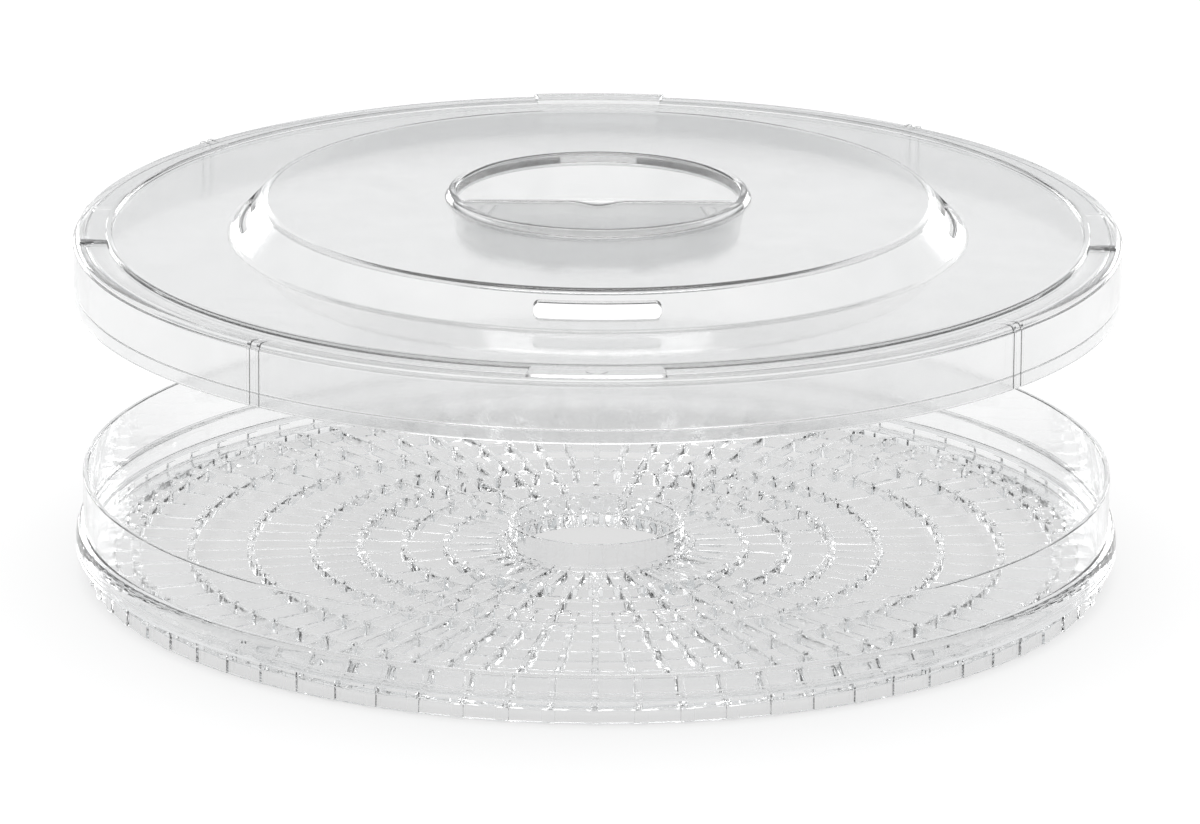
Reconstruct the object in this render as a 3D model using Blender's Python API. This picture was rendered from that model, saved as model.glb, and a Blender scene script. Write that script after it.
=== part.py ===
"""Clear lid and drying tray of a round food dehydrator.

Two injection mouldings in colourless plastic, drawn with the lid held above the
tray. Each moulding is drawn as the walls it is made of, one object per wall, with
a hair gap between neighbours. Sizes are in millimetres and are scaled to metres
where vertices are made. +Z is up, the axis of both mouldings is Z, and z = 0 is
the surface that the tray stands on.
"""
import math

import bmesh
import bpy
from mathutils import Matrix, Vector

MM = 0.001
GAP = 0.3                       # clearance between neighbouring solids
SEGMENTS = 72                   # flats around every large turned wall
SMALL_SEGMENTS = 36             # flats around the hub and the grip
MERGE = 0.0005                  # points closer than this are one point
SHARP_DEG = 30.0                # edges that turn more than this are shaded sharp

# ---- tray ---------------------------------------------------------------------
TRAY_HEIGHT = 32.5
TRAY_OUTER_R = 165.0            # widest part, at the foot of the wall
RIM_OUTER_R = 162.6             # thin upper wall, which the lid fits over
RIM_WALL = 1.6
FLARE_TOP_Z = 16.5              # where the wall starts to curve outwards
FLARE_LOW_Z = 10.5
FLARE_STEPS = 3
LEDGE_Z = 8.2                   # underside that rests on the rim of a tray below
LEDGE_WALL = 1.4
FOOT_OUTER_R = 160.8            # spigot ring that drops inside the rim below
FOOT_INNER_R = 158.9
MARGIN_TOP_Z = 6.2              # flat margin between the wall and the grate
MARGIN_WALL = 2.0
MARGIN_INNER_R = 152.6

# ---- grate in the tray ----------------------------------------------------------
GRATE_TOP_Z = 6.6
GRATE_DEPTH = 3.4
RIB_WIDTH = 2.0
RING_WIDTH = 2.2
RIBS = 72                       # radial ribs in the outer zone, half as many inside
OUTER_RINGS = (146.5, 128.7, 109.8, 90.0)
CHANGE_RING = 75.0              # every second rib stops at this ring
INNER_RINGS = (61.0, 47.5, 30.6)

# ---- hub collar -------------------------------------------------------------------
HUB_OUTER_R = 28.0
HUB_WALL = 1.8
HUB_FOOT = 1.2                  # how far the collar spreads at its foot
HUB_TOP_Z = 14.4

# ---- lid, heights measured from its own lower edge -----------------------------------
LID_LOW_Z = 89.5                # lower edge of the lid as it hangs above the tray
LID_OUTER_R = 165.0
SKIRT_WALL = 1.6
SEAT_Z = 3.9                    # ledge inside the skirt that rests on the tray's rim
SEAT_INNER_R = 161.6
SEAT_ROOT = 1.0                 # slope that fills the corner between band and roof
SHOULDER_OUTER_R = 164.5        # the band steps in by a hair where the shoulder starts
SHOULDER_LINE_Z = 18.8
SHOULDER_TOP_Z = 20.2
SHOULDER_STEPS = 3
BEAD_OUTER_R = 154.7
BEAD_INNER_R = 152.8
BEAD_TOP_Z = 21.6
PANEL_TOP_Z = 20.3
PANEL_WALL = 1.8
PLATEAU_BASE_R = 115.5
PLATEAU_TOP_R = 105.5
PLATEAU_TOP_Z = 31.2
PLATEAU_EDGE = 1.0              # size of the flat that breaks the plateau's upper edge
VENTS = 4
VENT_WIDTH = 39.0
VENT_LOW_Z = 22.6
VENT_HIGH_Z = 27.2
VENT_CUT_OUT = 2.0              # how far each vent's cutter runs past the slope's foot
VENT_CUT_IN = 8.0               # and past the plateau's edge

# ---- grip sunk into the lid ------------------------------------------------------------
LIP_OUTER_R = 47.0
LIP_TOP_Z = 33.2
WELL_TOP_R = 44.6
WELL_FLOOR_R = 42.6
WELL_FLOOR_Z = 18.3
WELL_CORNER = 1.0               # flat between the well's side and its floor
BAR_TOP_Z = 29.6
BAR_WIDTH = 4.0
BAR_ROUND = 1.2
BAR_ROUND_STEPS = 3

CLEAR = (0.90, 0.92, 0.93, 1.0)
CLEAR_ALPHA = 0.35
CLEAR_ROUGHNESS = 0.06


def clear_all():
    for obj in list(bpy.data.objects):
        bpy.data.objects.remove(obj, do_unlink=True)


def clear_plastic(name):
    material = bpy.data.materials.new(name)
    material.use_nodes = True
    shader = material.node_tree.nodes["Principled BSDF"]
    shader.inputs["Base Color"].default_value = CLEAR
    shader.inputs["Roughness"].default_value = CLEAR_ROUGHNESS
    shader.inputs["Metallic"].default_value = 0.0
    shader.inputs["Alpha"].default_value = CLEAR_ALPHA
    return material


def finish(name, bm, raised=0.0):
    """Turn a bmesh in millimetres into a named object in metres."""
    bmesh.ops.recalc_face_normals(bm, faces=bm.faces)
    bmesh.ops.translate(bm, verts=bm.verts, vec=Vector((0.0, 0.0, raised)))
    bmesh.ops.scale(bm, verts=bm.verts, vec=Vector((MM, MM, MM)))
    mesh = bpy.data.meshes.new(name)
    bm.to_mesh(mesh)
    bm.free()
    mesh.shade_smooth()
    mesh.set_sharp_from_angle(angle=math.radians(SHARP_DEG))
    obj = bpy.data.objects.new(name, mesh)
    obj.data.materials.append(clear_plastic(name + "_plastic"))
    bpy.context.scene.collection.objects.link(obj)
    return obj


def arc(centre, radius, start_deg, end_deg, steps):
    """Points of a round corner in the (radius, height) plane."""
    points = []
    for i in range(steps + 1):
        angle = math.radians(start_deg + (end_deg - start_deg) * i / steps)
        points.append((centre[0] + radius * math.cos(angle), centre[1] + radius * math.sin(angle)))
    return points


def turned(profile, segments):
    """Spin a (radius, height) outline round Z: it closes on itself, or starts and ends on Z."""
    bm = bmesh.new()
    verts = [bm.verts.new((r, 0.0, z)) for r, z in profile]
    edges = [bm.edges.new(pair) for pair in zip(verts, verts[1:])]
    if profile[0][0] > 0.0:
        edges.append(bm.edges.new((verts[-1], verts[0])))
    bmesh.ops.spin(bm, geom=verts + edges, cent=(0, 0, 0), axis=(0, 0, 1),
                   angle=math.tau, steps=segments, use_merge=True)
    bmesh.ops.remove_doubles(bm, verts=bm.verts, dist=MERGE)
    return bm


def box(bm, low, high, turn_deg=0.0):
    """Add a closed box between two corners, turned about Z."""
    centre = [(a + b) / 2.0 for a, b in zip(low, high)]
    size = [b - a for a, b in zip(low, high)]
    matrix = (Matrix.Rotation(math.radians(turn_deg), 4, "Z")
              @ Matrix.Translation(centre) @ Matrix.Diagonal((*size, 1.0)))
    bmesh.ops.create_cube(bm, size=1.0, matrix=matrix)


# ---- tray ------------------------------------------------------------------------------

def tray_wall():
    """Outer wall: thin rim, a curved flare outwards, and the ledge it stacks on."""
    rim_inner = RIM_OUTER_R - RIM_WALL
    outside = [(RIM_OUTER_R, TRAY_HEIGHT)]
    for i in range(FLARE_STEPS + 1):
        turn = math.radians(90.0 * i / FLARE_STEPS)
        outside.append((RIM_OUTER_R + (TRAY_OUTER_R - RIM_OUTER_R) * math.sin(turn),
                        FLARE_LOW_Z + (FLARE_TOP_Z - FLARE_LOW_Z) * math.cos(turn)))
    outside.append((TRAY_OUTER_R, LEDGE_Z))
    inside = [(FOOT_OUTER_R + GAP, LEDGE_Z), (FOOT_OUTER_R + GAP, LEDGE_Z + GAP),
              (FOOT_INNER_R, LEDGE_Z + GAP), (FOOT_INNER_R, LEDGE_Z + LEDGE_WALL),
              (rim_inner, LEDGE_Z + LEDGE_WALL), (rim_inner, TRAY_HEIGHT)]
    return finish("tray_wall", turned(outside + inside, SEGMENTS))


def tray_foot_ring():
    """Ring that the tray stands on, with the flat margin that carries the grate."""
    margin_low = MARGIN_TOP_Z - MARGIN_WALL
    profile = [(FOOT_OUTER_R, LEDGE_Z), (FOOT_OUTER_R, 0.0), (FOOT_INNER_R, 0.0),
               (FOOT_INNER_R, margin_low), (MARGIN_INNER_R, margin_low),
               (MARGIN_INNER_R, MARGIN_TOP_Z), (FOOT_INNER_R, MARGIN_TOP_Z),
               (FOOT_INNER_R, LEDGE_Z)]
    return finish("tray_foot_ring", turned(profile, SEGMENTS))


def polar(radius, rib, side):
    """A point beside a radial rib: side is -1 or +1 for its two edges."""
    middle = math.tau * rib / RIBS
    angle = middle + side * math.asin(RIB_WIDTH / 2.0 / radius)
    return (radius * math.cos(angle), radius * math.sin(angle), GRATE_TOP_Z)


def grate_rows():
    """Radii of the grate's circles from outside in, and which ribs reach each one."""
    rows = [(MARGIN_INNER_R - GAP, 1, False)]
    for ring in OUTER_RINGS:
        rows += [(ring + RING_WIDTH / 2.0, 1, True), (ring - RING_WIDTH / 2.0, 1, False)]
    rows += [(CHANGE_RING + RING_WIDTH / 2.0, 1, True), (CHANGE_RING - RING_WIDTH / 2.0, 2, False)]
    for ring in INNER_RINGS:
        rows += [(ring + RING_WIDTH / 2.0, 2, True), (ring - RING_WIDTH / 2.0, 2, False)]
    return rows


def tray_grate():
    """Radial ribs and rings in one plate: every second rib stops at the change ring."""
    bm = bmesh.new()
    rows = grate_rows()
    points = {}
    for row, (radius, stride, _) in enumerate(rows):
        for rib in range(0, RIBS, stride):
            for side in (-1, 1):
                points[row, rib, side] = bm.verts.new(polar(radius, rib, side))

    def row_run(row, rib, following):
        """The vertices of one circle from one rib's far edge to the next rib's near edge."""
        stride = rows[row][1]
        run = [points[row, rib, 1]]
        for between in range(rib + stride, rib + following, stride):
            run += [points[row, between, -1], points[row, between, 1]]
        return run + [points[row, (rib + following) % RIBS, -1]]

    for row in range(len(rows) - 1):
        inner_stride = rows[row + 1][1]
        for rib in range(0, RIBS, inner_stride):
            corners = [points[row, rib, -1], points[row, rib, 1]]
            bm.faces.new(corners + [points[row + 1, rib, 1], points[row + 1, rib, -1]])
            if rows[row][2]:
                outer = row_run(row, rib, inner_stride)
                inner = row_run(row + 1, rib, inner_stride)
                bm.faces.new(outer + inner[::-1])
    top = list(bm.faces)
    made = bmesh.ops.extrude_face_region(bm, geom=top, use_keep_orig=True)
    lower = [v for v in made["geom"] if isinstance(v, bmesh.types.BMVert)]
    bmesh.ops.translate(bm, verts=lower, vec=Vector((0.0, 0.0, -GRATE_DEPTH)))
    return finish("tray_grate", bm)


def tray_hub():
    """Open collar round the middle air channel, standing inside the grate's last ring."""
    inner = HUB_OUTER_R - HUB_WALL
    foot = HUB_OUTER_R + HUB_FOOT
    profile = [(HUB_OUTER_R, HUB_TOP_Z), (HUB_OUTER_R, GRATE_TOP_Z + HUB_FOOT), (foot, GRATE_TOP_Z),
               (foot, GRATE_TOP_Z - GRATE_DEPTH), (inner, GRATE_TOP_Z - GRATE_DEPTH),
               (inner, HUB_TOP_Z)]
    return finish("tray_hub", turned(profile, SMALL_SEGMENTS))


# ---- lid ------------------------------------------------------------------------------

def lid_skirt():
    """Outer band of the lid, with the seat ledge inside and the rounded shoulder."""
    skirt_inner = LID_OUTER_R - SKIRT_WALL
    under = SHOULDER_TOP_Z - PANEL_WALL
    outside = [(LID_OUTER_R, 0.0), (LID_OUTER_R, SHOULDER_LINE_Z)]
    rise = SHOULDER_TOP_Z - SHOULDER_LINE_Z
    outside += arc((SHOULDER_OUTER_R - rise, SHOULDER_LINE_Z), rise, 0.0, 90.0, SHOULDER_STEPS)
    outside += [(BEAD_OUTER_R + GAP, SHOULDER_TOP_Z)]
    inside = [(BEAD_OUTER_R + GAP, under), (SEAT_INNER_R - SEAT_ROOT, under),
              (SEAT_INNER_R, under - SEAT_ROOT), (SEAT_INNER_R, SEAT_Z), (skirt_inner, SEAT_Z),
              (skirt_inner, 0.0)]
    return finish("lid_skirt", turned(outside + inside, SEGMENTS), raised=LID_LOW_Z)


def lid_panel():
    """Flat panel with its bead, rising over a sloped side to the vented plateau."""
    panel_under = PANEL_TOP_Z - PANEL_WALL
    top_under = PLATEAU_TOP_Z - PANEL_WALL
    inner = LIP_OUTER_R + GAP
    upper = [(BEAD_OUTER_R, BEAD_TOP_Z), (BEAD_INNER_R, BEAD_TOP_Z), (BEAD_INNER_R, PANEL_TOP_Z),
             (PLATEAU_BASE_R, PANEL_TOP_Z), (PLATEAU_TOP_R + PLATEAU_EDGE, PLATEAU_TOP_Z - PLATEAU_EDGE),
             (PLATEAU_TOP_R - PLATEAU_EDGE, PLATEAU_TOP_Z), (inner, PLATEAU_TOP_Z)]
    lower = [(inner, top_under), (PLATEAU_TOP_R - PANEL_WALL, top_under),
             (PLATEAU_BASE_R - PANEL_WALL, panel_under), (BEAD_OUTER_R, panel_under)]
    panel = finish("lid_panel", turned(upper + lower, SEGMENTS), raised=LID_LOW_Z)
    panel_cuts = vent_cutters()
    cut = panel.modifiers.new("vents", "BOOLEAN")
    cut.operation = "DIFFERENCE"
    cut.solver = "EXACT"
    cut.object = panel_cuts
    return panel


def vent_cutters():
    """Four blocks that open the plateau's sloped side at its front, back, left and right."""
    bm = bmesh.new()
    for i in range(VENTS):
        box(bm, (-VENT_WIDTH / 2.0, -PLATEAU_BASE_R - VENT_CUT_OUT, VENT_LOW_Z),
            (VENT_WIDTH / 2.0, -PLATEAU_TOP_R + VENT_CUT_IN, VENT_HIGH_Z), 360.0 * i / VENTS)
    cutter = finish("vent_cutters", bm, raised=LID_LOW_Z)
    cutter.hide_render = True
    cutter.display_type = "WIRE"
    return cutter


def grip_well():
    """Round cup sunk into the lid's middle, with a small lip on the plateau."""
    under = WELL_FLOOR_Z - PANEL_WALL
    profile = [(0.0, WELL_FLOOR_Z), (WELL_FLOOR_R - WELL_CORNER, WELL_FLOOR_Z),
               (WELL_FLOOR_R, WELL_FLOOR_Z + WELL_CORNER), (WELL_TOP_R, LIP_TOP_Z),
               (LIP_OUTER_R, LIP_TOP_Z), (LIP_OUTER_R, PLATEAU_TOP_Z - PANEL_WALL),
               (WELL_FLOOR_R + PANEL_WALL, under + WELL_CORNER),
               (WELL_FLOOR_R + PANEL_WALL - WELL_CORNER, under), (0.0, under)]
    return finish("grip_well", turned(profile, SMALL_SEGMENTS), raised=LID_LOW_Z)


def grip_bar():
    """Upright web across the well, which fingers pinch to lift the lid."""
    half = WELL_FLOOR_R - WELL_CORNER - GAP
    bm = bmesh.new()
    box(bm, (-half, -BAR_WIDTH / 2.0, WELL_FLOOR_Z + GAP), (half, BAR_WIDTH / 2.0, BAR_TOP_Z))
    upper_long_edges = [e for e in bm.edges
                        if all(v.co.z > WELL_FLOOR_Z + BAR_ROUND for v in e.verts)
                        and abs(e.verts[0].co.x - e.verts[1].co.x) > half]
    bmesh.ops.bevel(bm, geom=upper_long_edges, offset=BAR_ROUND, offset_type="OFFSET",
                    segments=BAR_ROUND_STEPS, profile=0.5, affect="EDGES", material=-1)
    return finish("grip_bar", bm, raised=LID_LOW_Z)


def main():
    clear_all()
    tray_wall()
    tray_foot_ring()
    tray_grate()
    tray_hub()
    lid_skirt()
    lid_panel()
    grip_well()
    grip_bar()


main()
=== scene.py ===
"""Clear lid and drying tray of a round food dehydrator, laid out as a Blender add-on.

Both mouldings are drawn as one continuous wall of clear plastic each, around the
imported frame. Sizes are in metres. Heights in the lid's group are measured from the
lid's own lower edge.
"""
import math

import bmesh
import bpy
from bpy.props import FloatProperty, FloatVectorProperty, IntProperty, PointerProperty
from mathutils import Matrix, Vector


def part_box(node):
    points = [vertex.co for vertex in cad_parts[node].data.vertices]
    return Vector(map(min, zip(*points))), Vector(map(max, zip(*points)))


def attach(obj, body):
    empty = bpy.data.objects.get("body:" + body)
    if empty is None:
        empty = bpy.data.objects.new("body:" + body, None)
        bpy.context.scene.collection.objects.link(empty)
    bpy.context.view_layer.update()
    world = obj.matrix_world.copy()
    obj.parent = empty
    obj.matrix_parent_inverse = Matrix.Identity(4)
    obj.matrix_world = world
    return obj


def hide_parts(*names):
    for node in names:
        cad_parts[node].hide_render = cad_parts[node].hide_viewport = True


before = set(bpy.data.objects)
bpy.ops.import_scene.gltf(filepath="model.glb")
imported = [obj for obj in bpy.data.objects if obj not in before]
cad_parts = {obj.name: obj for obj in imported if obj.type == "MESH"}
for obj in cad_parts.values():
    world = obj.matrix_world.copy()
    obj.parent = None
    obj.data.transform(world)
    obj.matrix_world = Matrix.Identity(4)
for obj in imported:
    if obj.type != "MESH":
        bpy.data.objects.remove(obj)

bl_info = {
    "name": "Clear Drying Tray and Lid",
    "version": (1, 0, 0),
    "blender": (4, 5, 0),
    "location": "View3D > Sidebar > Dehydrator",
    "description": "Builds the clear tray and the clear vented lid of a round food dehydrator",
    "category": "Object",
}

MM = 0.001
MERGE = 1e-6                # points closer than this are one point
SHARP = math.radians(32.0)  # edges that turn more than this are shaded sharp
ROUND_STEPS = 3             # flats in each small rounded corner
SUPPORT = 0.08 * MM         # narrow strip beside a rounded corner, which keeps the wall flat
FRONT = math.radians(-90.0)  # the front's direction, round Z

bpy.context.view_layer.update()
WALL_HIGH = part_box("tray_wall")[1]
FOOT_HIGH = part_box("tray_foot_ring")[1]
GRATE_LOW, GRATE_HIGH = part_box("tray_grate")
HUB_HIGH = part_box("tray_hub")[1]
SKIRT_LOW, SKIRT_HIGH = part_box("lid_skirt")
PANEL_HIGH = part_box("lid_panel")[1]
WELL_LOW, WELL_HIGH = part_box("grip_well")
BAR_LOW, BAR_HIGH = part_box("grip_bar")


def size(name, description, default):
    """A length in metres that a user can change in the sidebar."""
    return FloatProperty(name=name, description=description, default=default, min=0.0,
                         subtype="DISTANCE", unit="LENGTH", precision=4)


def haze(default):
    """Roughness of a polished face, as a setting of its moulding."""
    return FloatProperty(name="Haze", description="Roughness of the polished faces",
                         default=default, min=0.0, max=0.3)


def colour(name, description, red, green, blue):
    """A colour that a user can change in the sidebar."""
    return FloatVectorProperty(name=name, description=description, size=4, subtype="COLOR",
                               default=(red, green, blue, 1.0), min=0.0, max=1.0)


# ---- settings ---------------------------------------------------------------------------

class TraySettings(bpy.types.PropertyGroup):
    """Sizes of the drying tray."""
    rim_radius: size("Rim radius", "Outer radius of the thin upper wall", 162.6 * MM)
    rim_wall: size("Rim wall", "Thickness of the upper wall", 1.6 * MM)
    flare_top: size("Flare top", "Height where the wall starts to swell outwards", 16.5 * MM)
    flare_low: size("Flare low", "Height where the swell is widest", 10.5 * MM)
    ledge_height: size("Ledge height", "Height of the underside that rests on a tray below", 8.2 * MM)
    ledge_wall: size("Ledge wall", "Thickness of the shelf over that underside", 1.4 * MM)
    foot_wall: size("Foot wall", "Thickness of the ring that the tray stands on", 1.9 * MM)
    margin_height: size("Margin height", "Height of the flat margin round the grate", 6.2 * MM)
    margin_wall: size("Margin wall", "Thickness of the flat margin", 2.0 * MM)
    ring_width: size("Ring width", "Width of the rings in the grate", 2.2 * MM)
    rib_width: size("Rib width", "Width of the radial ribs", 2.0 * MM)
    rib_root: size("Rib root", "Width of the ribs where they meet the hub", 4.2 * MM)
    rib_round: size("Rib round", "How far the upper edges of ribs and rings are rounded", 0.55 * MM)
    knot_height: size("Knot height", "How far the knots where ribs cross rings stand up", 1.0 * MM)
    hub_wall: size("Hub wall", "Thickness of the collar round the middle", 1.8 * MM)
    hub_foot: size("Hub foot", "How far the collar spreads at its foot", 1.2 * MM)
    boss_depth: size("Boss depth", "How far the small boss stands out of the collar's front", 1.3 * MM)
    stud_width: size("Stud width", "Width of the studs round the foot ring", 4.0 * MM)
    stud_depth: size("Stud depth", "How far the studs stand out of the foot ring", 1.0 * MM)
    ribs: IntProperty(name="Ribs", description="Radial ribs in the outer part of the grate",
                      default=72, min=8, max=96)
    haze: haze(0.02)
    tint: colour("Tint", "Colour of the tray's clear plastic", 0.955, 0.957, 0.958)
    cloud: colour("Cloud", "Colour of the faint cloudy streaks in it", 0.92, 0.923, 0.925)


class LidSettings(bpy.types.PropertyGroup):
    """Sizes of the vented lid."""
    wall: size("Wall", "Thickness of the roof and the grip", 1.8 * MM)
    skirt_wall: size("Skirt wall", "Thickness of the lower band", 1.6 * MM)
    seat_height: size("Seat height", "Height of the ledge that rests on the tray", 3.9 * MM)
    seat_radius: size("Seat radius", "Inner radius of that ledge", 161.6 * MM)
    shoulder_height: size("Shoulder height", "Height of the flat ring outside the bead", 20.2 * MM)
    bead_radius: size("Bead radius", "Outer radius of the raised bead", 154.7 * MM)
    bead_width: size("Bead width", "Width of the raised bead", 1.9 * MM)
    bead_height: size("Bead height", "Height of the top of the bead", 21.6 * MM)
    plateau_base: size("Plateau base", "Radius at the foot of the sloped side", 115.5 * MM)
    plateau_top: size("Plateau top", "Radius at the top of the sloped side", 105.5 * MM)
    vent_width: size("Vent width", "Width of each vent", 39.0 * MM)
    vent_low: size("Vent low", "Height of the vents' lower edge", 22.9 * MM)
    vent_high: size("Vent high", "Height of the vents' upper edge", 27.3 * MM)
    well_top: size("Well top", "Inner radius at the top of the grip well", 44.6 * MM)
    well_floor: size("Well floor", "Inner radius at the floor of the grip well", 42.6 * MM)
    pad_width: size("Pad width", "Width of the four flat pads outside the bead", 42.7 * MM)
    pad_height: size("Pad height", "Height of the top of the pads", 21.2 * MM)
    rib_width: size("Rib width", "Width of the upright ribs on the band", 1.1 * MM)
    rib_depth: size("Rib depth", "How far those ribs stand out", 0.32 * MM)
    rib_spacing: size("Rib spacing", "Distance between the two ribs of a pair", 3.7 * MM)
    haze: haze(0.05)
    tint: colour("Tint", "Colour of the lid's clear plastic", 0.825, 0.827, 0.828)
    cloud: colour("Cloud", "Colour of the faint cloudy streaks in it", 0.79, 0.793, 0.794)


class PlasticSettings(bpy.types.PropertyGroup):
    """Finish that the two mouldings share."""
    shade: colour("Shade", "Light that each face lets through onto the floor", 0.994, 0.994, 0.994)
    ripple: size("Ripple", "Depth of the shallow waves in the moulded faces", 0.012 * MM)


class StudioSettings(bpy.types.PropertyGroup):
    """Floor, light and camera."""
    floor_size: size("Floor size", "Length of each side of the floor", 30.0)
    distance: size("Camera distance", "Distance from the camera to the object", 3.0)
    elevation: FloatProperty(name="Elevation", description="Camera angle above the horizon",
                             default=math.radians(16.85), subtype="ANGLE", unit="ROTATION")
    roll: FloatProperty(name="Roll", description="Camera turned about its own axis",
                        default=math.radians(0.36), subtype="ANGLE", unit="ROTATION")
    lens: FloatProperty(name="Lens", description="Focal length on a 36 mm sensor", default=284.4, min=1.0)
    floor_glow: FloatProperty(name="Floor glow", description="Light that comes up through the milky floor",
                              default=0.62, min=0.0)
    sky: FloatProperty(name="Sky", description="Strength of the soft light all round", default=1.0, min=0.0)


# ---- making shapes ------------------------------------------------------------------------

def outline(corners, closed):
    """Points of a (radius, height) outline, from corners given as (radius, height, rounding)."""
    points = []
    count = len(corners)
    for i, (radius, height, rounding) in enumerate(corners):
        corner = Vector((radius, height))
        ends = not closed and i in (0, count - 1)
        if rounding == 0.0 or ends:
            points.append(corner)
            continue
        before = Vector(corners[i - 1][:2]) - corner
        after = Vector(corners[(i + 1) % count][:2]) - corner
        reach = min(rounding, before.length * 0.49, after.length * 0.49)
        start = corner + before.normalized() * reach
        end = corner + after.normalized() * reach
        if before.length > 4.0 * reach:
            points.append(start + before.normalized() * SUPPORT)
        for step in range(ROUND_STEPS + 1):
            t = step / ROUND_STEPS
            points.append(start.lerp(corner, t).lerp(corner.lerp(end, t), t))
        if after.length > 4.0 * reach:
            points.append(end + after.normalized() * SUPPORT)
    return points


def turned(corners, steps, closed=True, angle=math.tau, start=0.0):
    """Spin a rounded (radius, height) outline round Z. A part turn gets its two end faces."""
    bm = bmesh.new()
    verts = [bm.verts.new((p.x, 0.0, p.y)) for p in outline(corners, closed)]
    geom = verts + [bm.edges.new(pair) for pair in zip(verts, verts[1:])]
    if closed:
        geom.append(bm.edges.new((verts[-1], verts[0])))
    whole = angle == math.tau
    if not whole:
        geom.append(bm.faces.new(verts))
    bmesh.ops.rotate(bm, verts=verts, cent=(0, 0, 0), matrix=Matrix.Rotation(start, 3, "Z"))
    bmesh.ops.spin(bm, geom=geom, cent=(0, 0, 0), axis=(0, 0, 1), angle=angle, steps=steps,
                   use_merge=whole)
    bmesh.ops.remove_doubles(bm, verts=bm.verts, dist=MERGE)
    bmesh.ops.recalc_face_normals(bm, faces=bm.faces)
    return bm


def block(bm, low, high, rounding=0.0, axis=None, segments=3, turn=0.0):
    """Add a box between two corners. Its edges along one axis, or all of them, may be rounded."""
    centre = (Vector(low) + Vector(high)) / 2.0
    span = Vector(high) - Vector(low)
    place = Matrix.Translation(centre) @ Matrix.Diagonal((*span, 1.0))
    made = bmesh.ops.create_cube(bm, size=1.0, matrix=place)
    if rounding:
        edges = {e for v in made["verts"] for e in v.link_edges}
        chosen = [e for e in edges if axis is None
                  or abs((e.verts[0].co - e.verts[1].co).normalized()[axis]) > 0.9]
        bevelled = bmesh.ops.bevel(bm, geom=chosen, offset=rounding, offset_type="OFFSET",
                                   segments=segments, profile=0.5, affect="EDGES", material=-1)
        made["verts"] = list({v for f in bevelled["faces"] for v in f.verts}
                             | {v for v in made["verts"] if v.is_valid})
    bmesh.ops.rotate(bm, verts=made["verts"], cent=(0, 0, 0), matrix=Matrix.Rotation(turn, 3, "Z"))


def shade(mesh):
    """Shade a mesh smooth, apart from its sharp edges."""
    mesh.shade_smooth()
    mesh.set_sharp_from_angle(angle=SHARP)


def new_object(name, bm):
    """Turn a bmesh into a smooth-shaded object that sits at the origin."""
    mesh = bpy.data.meshes.new(name)
    bm.to_mesh(mesh)
    bm.free()
    shade(mesh)
    obj = bpy.data.objects.new(name, mesh)
    bpy.context.scene.collection.objects.link(obj)
    return obj


def combine(obj, bm, operation):
    """Join a bmesh to an object's wall, or cut it out, and keep the result as its mesh."""
    other = new_object("temporary", bm)
    change = obj.modifiers.new(operation, "BOOLEAN")
    change.operation = operation
    change.solver = "EXACT"
    change.object = other
    evaluated = obj.evaluated_get(bpy.context.evaluated_depsgraph_get())
    mesh = bpy.data.meshes.new_from_object(evaluated)
    obj.modifiers.remove(change)
    bpy.data.objects.remove(other, do_unlink=True)
    mesh.name = obj.name
    obj.data = mesh
    shade(mesh)


def hand_over(obj, body, slot, nodes, moulding, plastic):
    """Give a finished moulding its plastic and its body, and hide the solids it stands for."""
    obj.data.materials.clear()
    obj.data.materials.append(clear_plastic(slot, moulding, plastic))
    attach(obj, body)
    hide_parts(*nodes)


# ---- clear plastic ---------------------------------------------------------------------------

PLASTIC_IOR = 1.55
WAVES_PER_METRE = 70.0


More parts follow.
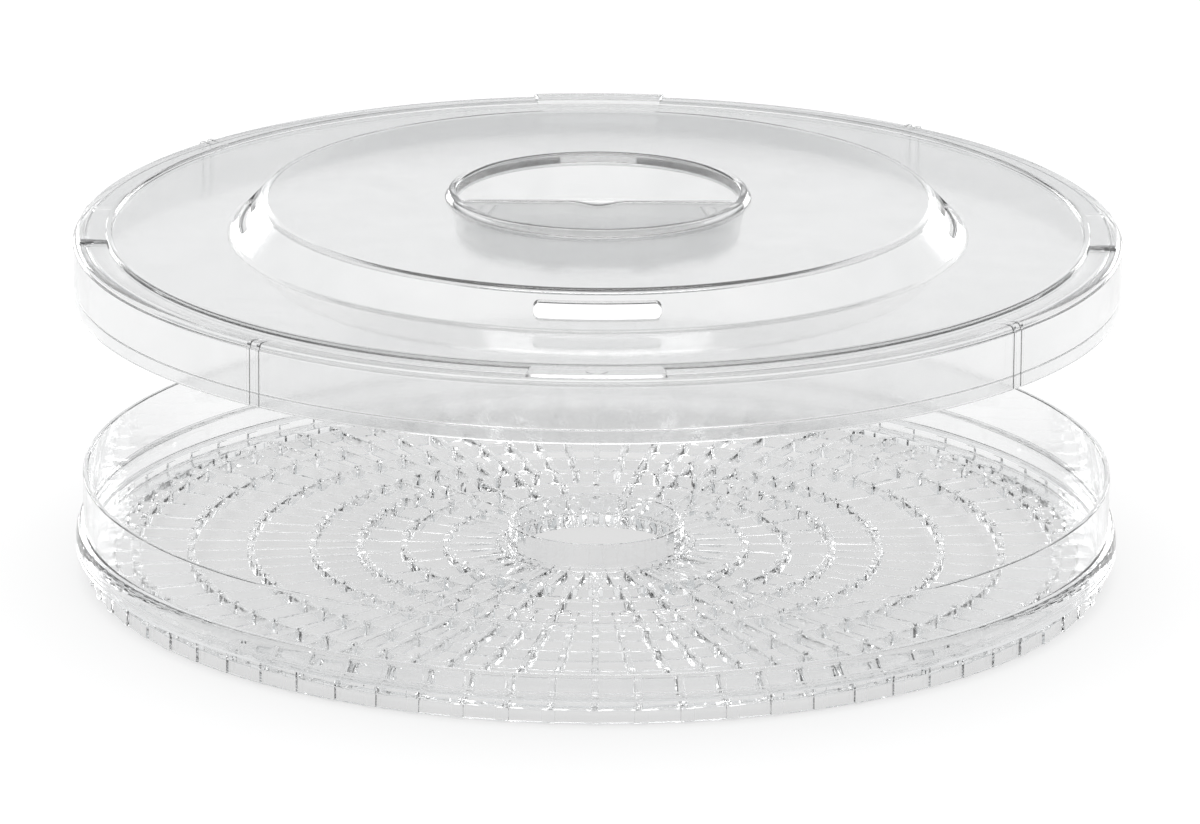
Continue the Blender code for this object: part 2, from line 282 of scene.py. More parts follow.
def moulded_faces_group():
    """Shader node group: the faint streaks, haze and waves of a clear moulding."""
    name = "moulded_faces"
    if name in bpy.data.node_groups:
        return bpy.data.node_groups[name]
    group = bpy.data.node_groups.new(name, "ShaderNodeTree")
    for label, kind in (("Vector", "NodeSocketVector"), ("Tint", "NodeSocketColor"),
                        ("Cloud", "NodeSocketColor"), ("Haze", "NodeSocketFloat"),
                        ("Stretch", "NodeSocketFloat")):
        group.interface.new_socket(label, in_out="INPUT", socket_type=kind)
    for label, kind in (("Color", "NodeSocketColor"), ("Roughness", "NodeSocketFloat"),
                        ("Height", "NodeSocketFloat")):
        group.interface.new_socket(label, in_out="OUTPUT", socket_type=kind)
    nodes, links = group.nodes, group.links
    source = nodes.new("NodeGroupInput")
    result = nodes.new("NodeGroupOutput")

    streaks = nodes.new("ShaderNodeTexNoise")
    streaks.inputs["Scale"].default_value = 55.0
    streaks.inputs["Detail"].default_value = 5.0
    streaks.inputs["Distortion"].default_value = 0.6
    links.new(source.outputs["Vector"], streaks.inputs["Vector"])
    spread = nodes.new("ShaderNodeMapRange")
    spread.inputs["From Min"].default_value = 0.35
    spread.inputs["From Max"].default_value = 0.7
    links.new(streaks.outputs["Fac"], spread.inputs["Value"])
    tints = nodes.new("ShaderNodeMix")
    tints.data_type = "RGBA"
    links.new(spread.outputs["Result"], tints.inputs["Factor"])
    links.new(source.outputs["Tint"], tints.inputs["A"])
    links.new(source.outputs["Cloud"], tints.inputs["B"])
    links.new(tints.outputs["Result"], result.inputs["Color"])

    rubs = nodes.new("ShaderNodeTexNoise")
    rubs.inputs["Scale"].default_value = 420.0
    rubs.inputs["Detail"].default_value = 3.0
    links.new(source.outputs["Vector"], rubs.inputs["Vector"])
    roughness = nodes.new("ShaderNodeMath")
    roughness.operation = "MULTIPLY_ADD"
    links.new(rubs.outputs["Fac"], roughness.inputs[0])
    links.new(source.outputs["Haze"], roughness.inputs[1])
    links.new(source.outputs["Haze"], roughness.inputs[2])
    links.new(roughness.outputs["Value"], result.inputs["Roughness"])

    waves = nodes.new("ShaderNodeTexNoise")
    waves.inputs["Detail"].default_value = 1.0
    links.new(source.outputs["Stretch"], waves.inputs["Scale"])
    links.new(source.outputs["Vector"], waves.inputs["Vector"])
    links.new(waves.outputs["Fac"], result.inputs["Height"])
    return group


def clear_plastic(name, moulding, plastic):
    """Colourless polished plastic with the streaks and waves of the moulding."""
    material = bpy.data.materials.new(name)
    material.use_nodes = True
    nodes, links = material.node_tree.nodes, material.node_tree.links
    shader = nodes["Principled BSDF"]
    shader.inputs["Metallic"].default_value = 0.0
    shader.inputs["Transmission Weight"].default_value = 1.0
    shader.inputs["IOR"].default_value = PLASTIC_IOR
    place = nodes.new("ShaderNodeTexCoord")
    faces = nodes.new("ShaderNodeGroup")
    faces.node_tree = moulded_faces_group()
    faces.inputs["Tint"].default_value = moulding.tint
    faces.inputs["Cloud"].default_value = moulding.cloud
    faces.inputs["Haze"].default_value = moulding.haze
    faces.inputs["Stretch"].default_value = WAVES_PER_METRE
    bump = nodes.new("ShaderNodeBump")
    bump.inputs["Distance"].default_value = plastic.ripple
    links.new(place.outputs["Object"], faces.inputs["Vector"])
    links.new(faces.outputs["Color"], shader.inputs["Base Color"])
    links.new(faces.outputs["Roughness"], shader.inputs["Roughness"])
    links.new(faces.outputs["Height"], bump.inputs["Height"])
    links.new(bump.outputs["Normal"], shader.inputs["Normal"])

    path = nodes.new("ShaderNodeLightPath")
    clear = nodes.new("ShaderNodeBsdfTransparent")
    clear.inputs["Color"].default_value = plastic.shade
    lets_through = nodes.new("ShaderNodeMixShader")
    links.new(path.outputs["Is Shadow Ray"], lets_through.inputs["Fac"])
    links.new(shader.outputs["BSDF"], lets_through.inputs[1])
    links.new(clear.outputs["BSDF"], lets_through.inputs[2])
    links.new(lets_through.outputs["Shader"], nodes["Material Output"].inputs["Surface"])
    return material


# ---- tray --------------------------------------------------------------------------------------

STEPS_PER_RIB = 4           # flats between two ribs of the outer zone
OUTER_RINGS = (146.5 * MM, 128.7 * MM, 109.8 * MM, 90.0 * MM)
CHANGE_RING = 75.0 * MM     # every second rib stops here
INNER_RINGS = (61.0 * MM, 47.5 * MM, 30.6 * MM)
ROOT_REACH = 52.0 * MM      # inside this radius the ribs widen towards the hub
KNOT_TAPER = 0.55           # a knot's width at its top, as a part of its width at its foot
FLARE_STEPS = 8             # flats in the swell of the wall
UPRIGHT = 0.1               # a face whose normal rises less than this counts as upright
LEVEL = 0.9                 # and one whose normal rises more than this counts as level
STEEP = math.radians(60.0)  # edges that turn more than this are corners
NEAR = 10.0 * MERGE         # heights and radii closer than this are the same


def grate_edges(tray):
    """Radii where the grate's openings start and end, as (inner, outer) pairs from the hub out."""
    rings = sorted((*OUTER_RINGS, CHANGE_RING, *INNER_RINGS))
    half = tray.ring_width / 2.0
    edges = [(a + half, b - half) for a, b in zip(rings, rings[1:])]
    return edges + [(rings[-1] + half, GRATE_HIGH.x)]


def tray_corners(tray):
    """The tray's outline: collar, grate, margin, wall, swell, ledge, foot ring and back under."""
    grate_top, grate_low = GRATE_HIGH.z, GRATE_LOW.z
    hub_outer = HUB_HIGH.x - tray.hub_foot
    hub_inner = hub_outer - tray.hub_wall
    rim_inner = tray.rim_radius - tray.rim_wall
    foot_outer = FOOT_HIGH.x
    foot_inner = foot_outer - tray.foot_wall
    under = tray.margin_height - tray.margin_wall
    rows = [radius for pair in grate_edges(tray) for radius in pair]
    corners = [(hub_inner, grate_low, 0.3 * MM), (hub_inner, HUB_HIGH.z, 0.7 * MM),
               (hub_outer, HUB_HIGH.z, 0.7 * MM), (hub_outer, grate_top, 1.2 * MM)]
    corners += [(radius, grate_top, 0.0) for radius in rows]
    corners += [(foot_inner, tray.margin_height, 0.7 * MM),
                (foot_inner, tray.ledge_height + tray.ledge_wall, 0.3 * MM),
                (rim_inner, tray.ledge_height + tray.ledge_wall, 0.6 * MM),
                (rim_inner, WALL_HIGH.z, 0.4 * MM), (tray.rim_radius, WALL_HIGH.z, 0.4 * MM)]
    swell = WALL_HIGH.x - tray.rim_radius
    for step in range(FLARE_STEPS + 1):
        turn = math.radians(90.0 * step / FLARE_STEPS)
        corners.append((tray.rim_radius + swell * math.sin(turn),
                        tray.flare_low + (tray.flare_top - tray.flare_low) * math.cos(turn), 0.0))
    corners += [(WALL_HIGH.x, tray.ledge_height, 0.3 * MM), (foot_outer, tray.ledge_height, 0.3 * MM),
                (foot_outer, tray.ledge_height - 0.6 * MM, 0.0), (foot_outer, 0.5 * MM, 0.0),
                (foot_outer, 0.0, 0.2 * MM), (foot_inner, 0.0, 0.2 * MM), (foot_inner, under, 0.7 * MM),
                (rows[-1] + 0.8 * MM, under, 0.0)]
    corners += [(radius, grate_low, 0.0) for radius in reversed(rows)]
    return corners


def steps_between_ribs(radius):
    """Flats from one rib to the next: every second rib stops at the change ring."""
    return STEPS_PER_RIB if radius > CHANGE_RING else 2 * STEPS_PER_RIB


def rib_half_angle(tray, radius):
    """Half of the angle that a rib, or a stud on the foot ring, takes up at this radius."""
    width = tray.rib_width
    if radius < ROOT_REACH:
        width += (tray.rib_root - tray.rib_width) * (ROOT_REACH - radius) / (ROOT_REACH - INNER_RINGS[-1])
    if radius > GRATE_HIGH.x + MM:
        width = tray.stud_width
    return math.asin(min(0.99, width / 2.0 / radius))


def gather_ribs(bm, tray, steps):
    """Slide the upright rows of points round Z until they line the ribs' straight sides."""
    pitch = math.tau / steps
    for vert in bm.verts:
        radius = math.hypot(vert.co.x, vert.co.y)
        here = math.atan2(vert.co.y, vert.co.x)
        index = round(here / pitch)
        per_rib = steps_between_ribs(radius)
        place = index % per_rib
        if place == 0:
            continue
        half = rib_half_angle(tray, radius)
        opening = per_rib * pitch - 2.0 * half
        moved = half + opening * (place - 1) / (per_rib - 2)
        target = (index - place) * pitch + moved
        vert.co.x = radius * math.cos(target)
        vert.co.y = radius * math.sin(target)


def opening_faces(bm, tray, steps):
    """The faces that close the grate's openings, on its upper and on its lower side."""
    pitch = math.tau / steps
    spans = grate_edges(tray)
    upper, lower = [], []
    for face in bm.faces:
        middle = face.calc_center_median()
        if abs(face.normal.z) < LEVEL or len(face.verts) != 4:
            continue
        radius = math.hypot(middle.x, middle.y)
        if not any(a < radius < b for a, b in spans):
            continue
        per_rib = steps_between_ribs(radius)
        half = max(rib_half_angle(tray, math.hypot(v.co.x, v.co.y)) for v in face.verts)
        swing = math.atan2(middle.y, middle.x) % (per_rib * pitch)
        if half * 0.9 < swing < per_rib * pitch - half * 0.9:
            (upper if face.normal.z > 0.0 else lower).append(face)
    return upper, lower


def cut_openings(bm, tray, steps):
    """Push the openings' upper faces down to the underside and take both away."""
    upper, lower = opening_faces(bm, tray, steps)
    made = bmesh.ops.extrude_face_region(bm, geom=upper)
    pushed = [g for g in made["geom"] if isinstance(g, bmesh.types.BMFace)]
    verts = [g for g in made["geom"] if isinstance(g, bmesh.types.BMVert)]
    bmesh.ops.translate(bm, verts=verts, vec=(0.0, 0.0, GRATE_LOW.z - GRATE_HIGH.z))
    bmesh.ops.delete(bm, geom=upper + pushed + lower, context="FACES")
    bmesh.ops.remove_doubles(bm, verts=bm.verts, dist=NEAR)


def raise_knots(bm, tray, steps):
    """Raise the small square where each rib crosses a ring into a knot with sloping sides."""
    pitch = math.tau / steps
    rings = (*OUTER_RINGS, CHANGE_RING, *INNER_RINGS)
    chosen = []
    for face in bm.faces:
        middle = face.calc_center_median()
        if face.normal.z < LEVEL or abs(middle.z - GRATE_HIGH.z) > MERGE:
            continue
        radius = math.hypot(middle.x, middle.y)
        beside = tray.ring_width / 4.0
        if min(abs(radius - ring) for ring in rings) > beside:
            continue
        rib_pitch = pitch * steps_between_ribs(radius + beside)
        turn = math.atan2(middle.y, middle.x)
        swing = turn - round(turn / rib_pitch) * rib_pitch
        if abs(swing) < rib_half_angle(tray, radius):
            chosen.append(face)
    made = bmesh.ops.extrude_face_region(bm, geom=chosen)
    bmesh.ops.delete(bm, geom=chosen, context="FACES")
    for vert in (g for g in made["geom"] if isinstance(g, bmesh.types.BMVert)):
        radius = math.hypot(vert.co.x, vert.co.y)
        turn = math.atan2(vert.co.y, vert.co.x)
        ring = min(rings, key=lambda r: abs(r - radius))
        rib = round(turn / (pitch * STEPS_PER_RIB)) * pitch * STEPS_PER_RIB
        radius = ring + (radius - ring) * KNOT_TAPER
        turn = rib + (turn - rib) * KNOT_TAPER
        vert.co = Vector((radius * math.cos(turn), radius * math.sin(turn), vert.co.z + tray.knot_height))


def raise_boss(bm, tray):
    """Small boss on the front of the collar, which narrows and leans in towards its top."""
    outer = HUB_HIGH.x - tray.hub_foot
    reach = rib_half_angle(tray, outer)
    chosen = []
    for face in bm.faces:
        middle = face.calc_center_median()
        radius = math.hypot(middle.x, middle.y)
        swing = math.atan2(middle.y, middle.x) - FRONT
        tall = max(v.co.z for v in face.verts) - min(v.co.z for v in face.verts) > 3.0 * MM
        if tall and abs(radius - outer) < 0.2 * MM and abs(swing) < reach:
            chosen.append(face)
    made = bmesh.ops.extrude_face_region(bm, geom=chosen)
    bmesh.ops.delete(bm, geom=chosen, context="FACES")
    for vert in (g for g in made["geom"] if isinstance(g, bmesh.types.BMVert)):
        if vert.co.z > (HUB_HIGH.z + GRATE_HIGH.z) / 2.0:
            vert.co.y -= 0.3 * tray.boss_depth
            vert.co.x *= 0.7
            vert.co.z -= 0.8 * MM
        else:
            vert.co.y -= tray.boss_depth
            vert.co.x *= 1.1


def round_grate(bm, tray):
    """Round the upper edges of every rib and ring."""
    edges = [e for e in bm.edges
             if len(e.link_faces) == 2
             and all(abs(v.co.z - GRATE_HIGH.z) < NEAR for v in e.verts)
             and all(math.hypot(v.co.x, v.co.y) < GRATE_HIGH.x + NEAR for v in e.verts)
             and e.calc_face_angle(0.0) > STEEP
             and min(abs(f.normal.z) for f in e.link_faces) < UPRIGHT]
    bmesh.ops.bevel(bm, geom=edges, offset=tray.rib_round, offset_type="OFFSET", segments=2,
                    profile=0.5, affect="EDGES", material=-1, clamp_overlap=True)


def raise_studs(bm, tray, steps):
    """Small upright studs round the foot ring, under every rib."""
    pitch = math.tau / steps
    chosen = []
    for face in bm.faces:
        middle = face.calc_center_median()
        on_ring = math.hypot(middle.x, middle.y) > FOOT_HIGH.x - 0.2 * MM
        below_ledge = 0.5 * MM < middle.z < tray.ledge_height - 0.7 * MM
        if not (on_ring and below_ledge) or abs(face.normal.z) > UPRIGHT:
            continue
        swing = (math.atan2(middle.y, middle.x) + pitch * STEPS_PER_RIB / 2.0) % (STEPS_PER_RIB * pitch)
        if abs(swing - STEPS_PER_RIB * pitch / 2.0) < tray.stud_width / 2.0 / FOOT_HIGH.x:
            chosen.append(face)
    made = bmesh.ops.extrude_face_region(bm, geom=chosen)
    bmesh.ops.delete(bm, geom=chosen, context="FACES")
    for vert in (g for g in made["geom"] if isinstance(g, bmesh.types.BMVert)):
        flat = Vector((vert.co.x, vert.co.y, 0.0)).normalized()
        vert.co += flat * tray.stud_depth


class DEHYDRATOR_OT_tray(bpy.types.Operator):
    """Build the clear drying tray: wall, foot ring, grate and collar in one moulding"""
    bl_idname = "dehydrator.tray"
    bl_label = "Drying Tray"

    def execute(self, context):
        tray = context.scene.dehydrator_tray
        steps = tray.ribs * STEPS_PER_RIB
        bm = turned(tray_corners(tray), steps)
        gather_ribs(bm, tray, steps)
        cut_openings(bm, tray, steps)
        raise_knots(bm, tray, steps)
        round_grate(bm, tray)
        raise_studs(bm, tray, steps)
        raise_boss(bm, tray)
        bmesh.ops.recalc_face_normals(bm, faces=bm.faces)
        obj = new_object("drying_tray", bm)
        hand_over(obj, "tray", "tray_plastic",
                  ("tray_wall", "tray_foot_ring", "tray_grate", "tray_hub"), tray,
                  context.scene.dehydrator_plastic)
        return {"FINISHED"}


# ---- lid -----------------------------------------------------------------------------------------

LID_STEPS = 360
QUARTERS = 4
SHOULDER_STEPS = 6          # flats in the rounded shoulder
PAD_STEPS = 12              # flats along each pad
WEB_CUTS = 47               # cuts across the web, which let its upper edge curve
SCOOP_REACH = 9.0 * MM      # half the length of the scoop in the web
SCOOP_DEPTH = 1.3 * MM
RIB_PAIR_TURN = math.radians(-39.0)     # the first pair of ribs, from the front towards the left


def lid_corners(lid):
    """The lid's outline: up the well, over lip, plateau, bead and shoulder, and back underneath."""
    low = SKIRT_LOW.z
    skirt_radius = SKIRT_HIGH.x
    skirt_inner = skirt_radius - lid.skirt_wall
    plateau = PANEL_HIGH.z - low
    lip = WELL_HIGH.z - low
    floor_under = WELL_LOW.z - low
    floor = floor_under + lid.wall
    lip_outer = WELL_HIGH.x
    panel = lid.shoulder_height
    step = 0.5 * MM
    shoulder = 1.7 * MM
    shoulder_arc = []
    for part in range(SHOULDER_STEPS + 1):
        turn = math.radians(90.0 * part / SHOULDER_STEPS)
        shoulder_arc.append((skirt_radius - step - shoulder * (1.0 - math.sin(turn)),
                             panel - shoulder * (1.0 - math.cos(turn)), 0.0))
    slope = math.atan2(plateau - panel, lid.plateau_base - lid.plateau_top)
    inset = lid.wall * math.tan(slope / 2.0)
    corners = [(0.0, floor, 0.0), (lid.well_floor, floor, 1.8 * MM), (lid.well_top, lip, 0.6 * MM),
               (lip_outer, lip, 0.6 * MM), (lip_outer + 0.6 * MM, plateau, 0.6 * MM),
               (lid.plateau_top, plateau, 1.1 * MM), (lid.plateau_base, panel, 1.1 * MM),
               (lid.bead_radius - lid.bead_width, panel, 0.3 * MM),
               (lid.bead_radius - lid.bead_width, lid.bead_height, 0.5 * MM),
               (lid.bead_radius, lid.bead_height, 0.5 * MM), (lid.bead_radius, panel, 0.4 * MM),
               *shoulder_arc, (skirt_radius, panel - 2.1 * MM, 0.25 * MM), (skirt_radius, 0.0, 0.3 * MM),
               (skirt_inner, 0.0, 0.3 * MM), (skirt_inner, lid.seat_height, 0.2 * MM),
               (lid.seat_radius, lid.seat_height, 0.3 * MM), (lid.seat_radius, panel - lid.wall, 1.4 * MM),
               (lid.plateau_base - inset, panel - lid.wall, 1.1 * MM),
               (lid.plateau_top - inset, plateau - lid.wall, 1.1 * MM),
               (lip_outer - 0.4 * MM, plateau - lid.wall, 0.9 * MM),
               (lid.well_floor + lid.wall, floor_under, 1.8 * MM), (0.0, floor_under, 0.0)]
    return [(radius, height + low, rounding) for radius, height, rounding in corners]


def vent_cutters(lid):
    """Four rounded slots through the sloped side, at the front, back, left and right."""
    bm = bmesh.new()
    low = SKIRT_LOW.z
    half = lid.vent_width / 2.0
    for quarter in range(QUARTERS):
        block(bm, (-half, -lid.plateau_base - 2.0 * MM, low + lid.vent_low),
              (half, -lid.plateau_top + 8.0 * MM, low + lid.vent_high),
              rounding=1.9 * MM, axis=1, segments=5, turn=math.tau * quarter / QUARTERS)
    return bm


def pad_ring(lid):
    """Four flat pads between the bead and the shoulder."""
    whole = bmesh.new()
    low = SKIRT_LOW.z
    outer = SKIRT_HIGH.x - 1.6 * MM
    inner = lid.bead_radius - 0.6 * MM
    reach = math.asin(lid.pad_width / 2.0 / outer)
    corners = [(inner, low + lid.shoulder_height - 0.6 * MM, 0.0), (inner, low + lid.pad_height, 0.0),
               (outer, low + lid.pad_height, 0.5 * MM), (outer, low + lid.shoulder_height - 0.6 * MM, 0.0)]
    for quarter in range(QUARTERS):
        turn = FRONT + math.tau * quarter / QUARTERS
        part = turned(corners, PAD_STEPS, angle=2.0 * reach, start=turn - reach)
        ends = [e for e in part.edges if e.calc_face_angle(0.0) > STEEP
                and all(v.co.z > low + lid.pad_height - 0.4 * MM for v in e.verts)
                and abs(e.verts[0].co.length - e.verts[1].co.length) > 2.0 * MM]
        bmesh.ops.bevel(part, geom=ends, offset=0.9 * MM, offset_type="OFFSET", segments=3,
                        profile=0.5, affect="EDGES", material=-1)
        mesh = bpy.data.meshes.new("part")
        part.to_mesh(mesh)
        part.free()
        whole.from_mesh(mesh)
        bpy.data.meshes.remove(mesh)
    return whole


def band_ribs(lid):
    """Pairs of thin upright ribs that run up the band and hook over the shoulder."""
    bm = bmesh.new()
    low = SKIRT_LOW.z
    inside = SKIRT_HIGH.x - 0.9 * MM
    outside = SKIRT_HIGH.x + lid.rib_depth - 0.5 * MM
    hook_end = SKIRT_HIGH.x - 6.5 * MM
    top = low + lid.shoulder_height + lid.rib_depth
    corners = [(inside, low + 0.4 * MM, 0.0), (outside + 0.5 * MM, low + 0.4 * MM, 0.2 * MM),
               (outside + 0.5 * MM, top - 2.4 * MM, 0.4 * MM), (outside, top - 2.0 * MM, 0.2 * MM),
               (outside, top, 1.9 * MM), (hook_end, top - lid.rib_depth - 0.05 * MM, 0.0),
               (hook_end, top - 1.2 * MM, 0.0), (inside, top - 1.2 * MM, 0.0)]
    points = outline(corners, True)
    for quarter in range(QUARTERS):
        for side in (-1.0, 1.0):
            verts = [bm.verts.new((-lid.rib_width / 2.0, -p.x, p.y)) for p in points]
            made = bmesh.ops.extrude_face_region(bm, geom=[bm.faces.new(verts)], use_keep_orig=True)
            far = [g for g in made["geom"] if isinstance(g, bmesh.types.BMVert)]
            bmesh.ops.translate(bm, verts=far, vec=(lid.rib_width, 0.0, 0.0))
            every = verts + far
            bmesh.ops.translate(bm, verts=every, vec=(side * lid.rib_spacing / 2.0, 0.0, 0.0))
            turn = RIB_PAIR_TURN + math.tau * quarter / QUARTERS
            bmesh.ops.rotate(bm, verts=every, cent=(0, 0, 0), matrix=Matrix.Rotation(turn, 3, "Z"))
    bmesh.ops.recalc_face_normals(bm, faces=bm.faces)
    return bm


def grip_web():
    """The upright web across the well, with a shallow scoop in the middle of its upper edge."""
    bm = bmesh.new()
    low = (BAR_LOW.x - 1.6 * MM, BAR_LOW.y, BAR_LOW.z - 0.8 * MM)
    high = (BAR_HIGH.x + 1.6 * MM, BAR_HIGH.y, BAR_HIGH.z)
    block(bm, low, high, rounding=1.1 * MM, axis=0, segments=4)
    across = [e for e in bm.edges if abs(e.verts[0].co.x - e.verts[1].co.x) > BAR_HIGH.x]
    bmesh.ops.subdivide_edges(bm, edges=across, cuts=WEB_CUTS, use_grid_fill=True)
    for vert in bm.verts:
        near = max(0.0, 1.0 - abs(vert.co.x) / SCOOP_REACH)
        lift = max(0.0, (vert.co.z - BAR_LOW.z) / (BAR_HIGH.z - BAR_LOW.z))
        vert.co.z -= SCOOP_DEPTH * lift * near * near * (3.0 - 2.0 * near)
    bmesh.ops.recalc_face_normals(bm, faces=bm.faces)
    return bm


def gate_disc(lid):
    """The small round mark left where the plastic was fed in, on the front pad."""
    bm = bmesh.new()
    place = Matrix.Translation((0.0, -(lid.bead_radius + 4.6 * MM), SKIRT_LOW.z + lid.pad_height))
    bmesh.ops.create_cone(bm, cap_ends=True, segments=40, radius1=3.5 * MM, radius2=3.3 * MM,
                          depth=0.3 * MM, matrix=place)
    return bm


class DEHYDRATOR_OT_lid(bpy.types.Operator):
    """Build the clear lid: band, roof, vents and the grip sunk into it, in one moulding"""
    bl_idname = "dehydrator.lid"
    bl_label = "Vented Lid"

    def execute(self, context):
        lid = context.scene.dehydrator_lid
        obj = new_object("vented_lid", turned(lid_corners(lid), LID_STEPS, closed=False))
        combine(obj, vent_cutters(lid), "DIFFERENCE")
        for added in (pad_ring(lid), band_ribs(lid), grip_web(), gate_disc(lid)):
            combine(obj, added, "UNION")
        hand_over(obj, "lid", "lid_plastic", ("lid_skirt", "lid_panel", "grip_well", "grip_bar"),
                  lid, context.scene.dehydrator_plastic)
        return {"FINISHED"}


# ---- studio ---------------------------------------------------------------------------------------

CLEAR_WALLS = 36            # clear faces that light may pass in a row


def floor_material(glow):
    """Milky board of a light table, lit from below, with a very faint mottle."""
    material = bpy.data.materials.new("floor_board")
    material.use_nodes = True
    nodes, links = material.node_tree.nodes, material.node_tree.links
    shader = nodes["Principled BSDF"]
    shader.inputs["Roughness"].default_value = 0.9
    shader.inputs["Specular IOR Level"].default_value = 0.0
    noise = nodes.new("ShaderNodeTexNoise")
    noise.inputs["Scale"].default_value = 3.0
    colours = nodes.new("ShaderNodeMix")
    colours.data_type = "RGBA"
    colours.inputs["A"].default_value = (0.44, 0.44, 0.44, 1.0)
    colours.inputs["B"].default_value = (0.46, 0.46, 0.46, 1.0)
    links.new(noise.outputs["Fac"], colours.inputs["Factor"])
    links.new(colours.outputs["Result"], shader.inputs["Base Color"])
    shader.inputs["Emission Color"].default_value = (1.0, 1.0, 1.0, 1.0)
    shader.inputs["Emission Strength"].default_value = glow
    return material


def studio_world(studio):
    """Soft light all round: bright overhead, grey at the horizon and darker at both sides."""
    world = bpy.data.worlds.new("soft_tent")
    world.use_nodes = True
    nodes, links = world.node_tree.nodes, world.node_tree.links
    background = nodes["Background"]
    place = nodes.new("ShaderNodeTexCoord")
    axes = nodes.new("ShaderNodeSeparateXYZ")
    ramp = nodes.new("ShaderNodeValToRGB")
    stops = ramp.color_ramp
    stops.elements[0].position = 0.15
    stops.elements[0].color = (0.76, 0.77, 0.78, 1.0)
    stops.elements[1].position = 0.6
    stops.elements[1].color = (0.95, 0.95, 0.95, 1.0)
    links.new(place.outputs["Generated"], axes.inputs["Vector"])
    links.new(axes.outputs["Z"], ramp.inputs["Fac"])
    aside = nodes.new("ShaderNodeMath")
    aside.operation = "ABSOLUTE"
    links.new(axes.outputs["X"], aside.inputs[0])
    flags = nodes.new("ShaderNodeMapRange")
    flags.inputs["From Min"].default_value = 0.55
    flags.inputs["From Max"].default_value = 0.75
    links.new(aside.outputs["Value"], flags.inputs["Value"])
    shades = nodes.new("ShaderNodeMix")
    shades.data_type = "RGBA"
    shades.inputs["B"].default_value = (0.58, 0.60, 0.61, 1.0)
    links.new(flags.outputs["Result"], shades.inputs["Factor"])
    links.new(ramp.outputs["Color"], shades.inputs["A"])
    links.new(shades.outputs["Result"], background.inputs["Color"])
    background.inputs["Strength"].default_value = studio.sky
    bpy.context.scene.world = world


def softbox(name, place, width, height, strength):
    """A soft rectangular light that faces the object."""
    data = bpy.data.lights.new(name, "AREA")
    data.shape = "RECTANGLE"
    data.size = width
    data.size_y = height
    data.energy = strength
    light = bpy.data.objects.new(name, data)
    light.location = place
    light.rotation_mode = "QUATERNION"
    light.rotation_quaternion = Vector(place).to_track_quat("Z", "Y")
    light.visible_camera = False
    bpy.context.scene.collection.objects.link(light)


def studio_camera(studio):
    """The camera looks at the middle of the pair from the front and slightly above."""
    aim = Vector((1.0 * MM, 0.0, 49.7 * MM))
    back = Vector((0.0, -math.cos(studio.elevation), math.sin(studio.elevation)))
    data = bpy.data.cameras.new("camera")
    data.lens = studio.lens
    data.clip_start = 0.05
    data.clip_end = 100.0
    camera = bpy.data.objects.new("camera", data)
    camera.location = aim + back * studio.distance
    turn = (-back).to_track_quat("-Z", "Y").to_matrix() @ Matrix.Rotation(studio.roll, 3, "Z")
    camera.rotation_euler = turn.to_euler()
    bpy.context.scene.collection.objects.link(camera)
    bpy.context.scene.camera = camera


def light_paths(cycles):
    """Let light through the many clear walls that stand one behind another."""
    cycles.caustics_refractive = False
    cycles.caustics_reflective = False
    cycles.max_bounces = CLEAR_WALLS
    cycles.transmission_bounces = CLEAR_WALLS
    cycles.transparent_max_bounces = CLEAR_WALLS
    cycles.glossy_bounces = CLEAR_WALLS // 3


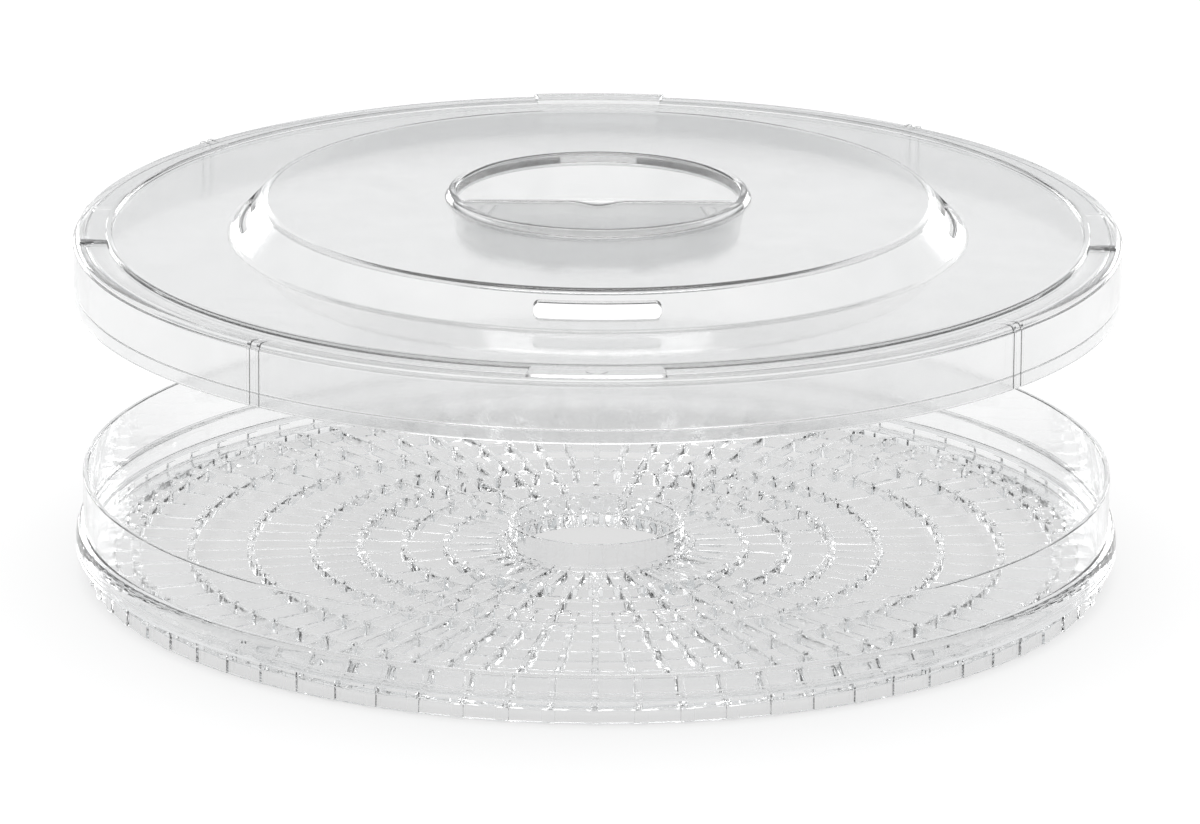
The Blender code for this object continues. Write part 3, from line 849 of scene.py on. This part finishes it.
class DEHYDRATOR_OT_studio(bpy.types.Operator):
    """Build the pale floor, the soft light and the camera"""
    bl_idname = "dehydrator.studio"
    bl_label = "Studio"

    def execute(self, context):
        studio = context.scene.dehydrator_studio
        bm = bmesh.new()
        bmesh.ops.create_grid(bm, x_segments=1, y_segments=1, size=studio.floor_size / 2.0,
                              matrix=Matrix.Translation((0.0, 0.0, -0.4 * MM)))
        floor = new_object("floor", bm)
        floor.data.materials.append(floor_material(studio.floor_glow))
        studio_world(studio)
        softbox("softbox_top", (0.0, 0.6, 2.4), 1.2, 0.8, 11.0)
        softbox("softbox_left", (-1.1, 2.1, 0.45), 0.9, 0.6, 9.0)
        softbox("softbox_right", (1.1, 2.1, 0.45), 0.9, 0.6, 9.0)
        studio_camera(studio)
        context.scene.view_settings.view_transform = "Standard"
        light_paths(context.scene.cycles)
        return {"FINISHED"}


# ---- sidebar ----------------------------------------------------------------------------------------

class DEHYDRATOR_PT_sidebar(bpy.types.Panel):
    """Buttons and sizes for the tray, the lid and the studio"""
    bl_label = "Drying Tray and Lid"
    bl_space_type = "VIEW_3D"
    bl_region_type = "UI"
    bl_category = "Dehydrator"

    def draw(self, context):
        scene = context.scene
        for title, operator, settings in SECTIONS:
            box = self.layout.box()
            box.label(text=title)
            group = getattr(scene, settings)
            for name in group.__annotations__:
                box.prop(group, name)
            if operator:
                box.operator(operator)


SECTIONS = (
    ("Clear plastic", "", "dehydrator_plastic"),
    ("Drying tray", DEHYDRATOR_OT_tray.bl_idname, "dehydrator_tray"),
    ("Vented lid", DEHYDRATOR_OT_lid.bl_idname, "dehydrator_lid"),
    ("Studio", DEHYDRATOR_OT_studio.bl_idname, "dehydrator_studio"),
)
GROUPS = {"dehydrator_plastic": PlasticSettings, "dehydrator_tray": TraySettings,
          "dehydrator_lid": LidSettings, "dehydrator_studio": StudioSettings}
CLASSES = (*GROUPS.values(), DEHYDRATOR_OT_tray, DEHYDRATOR_OT_lid, DEHYDRATOR_OT_studio,
           DEHYDRATOR_PT_sidebar)


def register():
    for cls in CLASSES:
        bpy.utils.register_class(cls)
    for name, group in GROUPS.items():
        setattr(bpy.types.Scene, name, PointerProperty(type=group))


def unregister():
    for name in GROUPS:
        delattr(bpy.types.Scene, name)
    for cls in reversed(CLASSES):
        bpy.utils.unregister_class(cls)


def main():
    register()
    bpy.ops.dehydrator.tray()
    bpy.ops.dehydrator.lid()
    bpy.ops.dehydrator.studio()
    bpy.context.view_layer.update()


if __name__ == "__main__":
    main()
